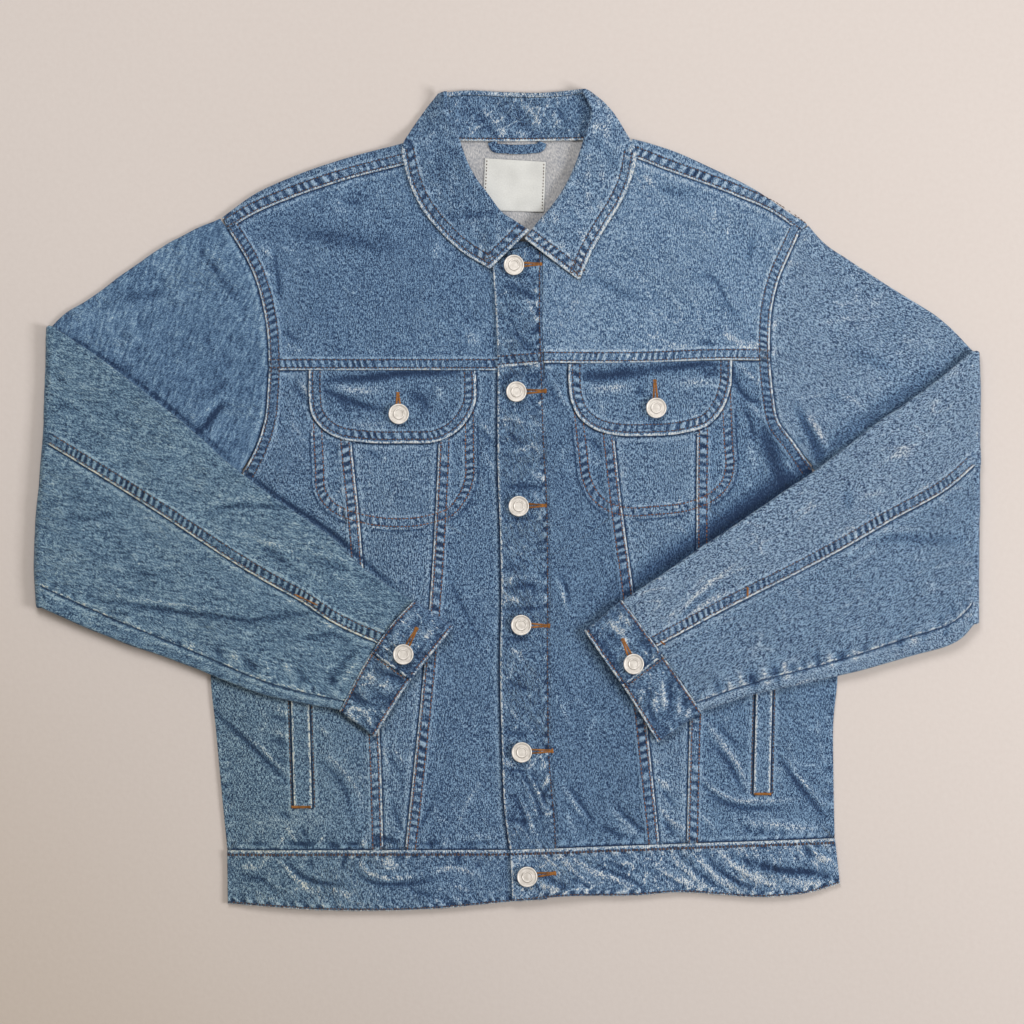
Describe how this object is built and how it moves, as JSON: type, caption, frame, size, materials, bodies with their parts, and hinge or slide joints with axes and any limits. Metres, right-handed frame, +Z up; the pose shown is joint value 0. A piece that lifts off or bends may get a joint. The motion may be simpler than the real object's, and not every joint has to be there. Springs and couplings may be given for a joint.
{
  "type": "denim jacket",
  "caption": "Denim jacket lying flat and buttoned, sleeves folded across the front, with a turned-down collar, flapped chest pockets, hand pockets and metal buttons.",
  "frame": {"origin": "on the surface that the jacket lies on, under the middle of its outline", "axes": "+X to the wearer's left, +Y towards the collar, +Z up from the surface"},
  "size_m": [0.7854, 0.6823, 0.0194],
  "materials": {
    "denim": "mid-blue stonewashed denim twill, worn light along its seams and edges",
    "inside_cloth": "light grey wrong side of the denim",
    "label_cloth": "smooth white woven tape, left bare",
    "thread": "brown and orange sewing thread",
    "button_metal": "satin silver metal, with turned rings"
  },
  "bodies": {
    "root": {"back_panel": "denim", "back_yoke": "denim", "waistband_back": "denim", "yoke_front_right": "denim", "front_side_right": "denim", "front_middle_right": "denim", "front_centre_right": "denim", "yoke_front_left": "denim", "front_side_left": "denim", "front_middle_left": "denim", "front_centre_left": "denim", "front_band": "denim", "waistband_right": "denim", "waistband_left": "denim", "pocket_bag_right": "inside_cloth", "flap_right": "denim", "welt_right": "denim", "sleeve_top_right": "denim", "sleeve_under_right": "denim", "cuff_right": "denim", "collar_leaf_right": "denim", "pocket_bag_left": "inside_cloth", "flap_left": "denim", "welt_left": "denim", "sleeve_top_left": "denim", "sleeve_under_left": "denim", "cuff_left": "denim", "collar_leaf_left": "denim", "collar_fall": "denim", "collar_band": "denim", "hanger_loop": "denim", "neck_label": "label_cloth", "button_band_1": "button_metal", "button_band_2": "button_metal", "button_band_3": "button_metal", "button_band_4": "button_metal", "button_band_5": "button_metal", "button_waist": "button_metal", "button_flap_right": "button_metal", "button_flap_left": "button_metal", "button_cuff_right": "button_metal", "button_cuff_left": "button_metal"}
  },
  "joints": []
}
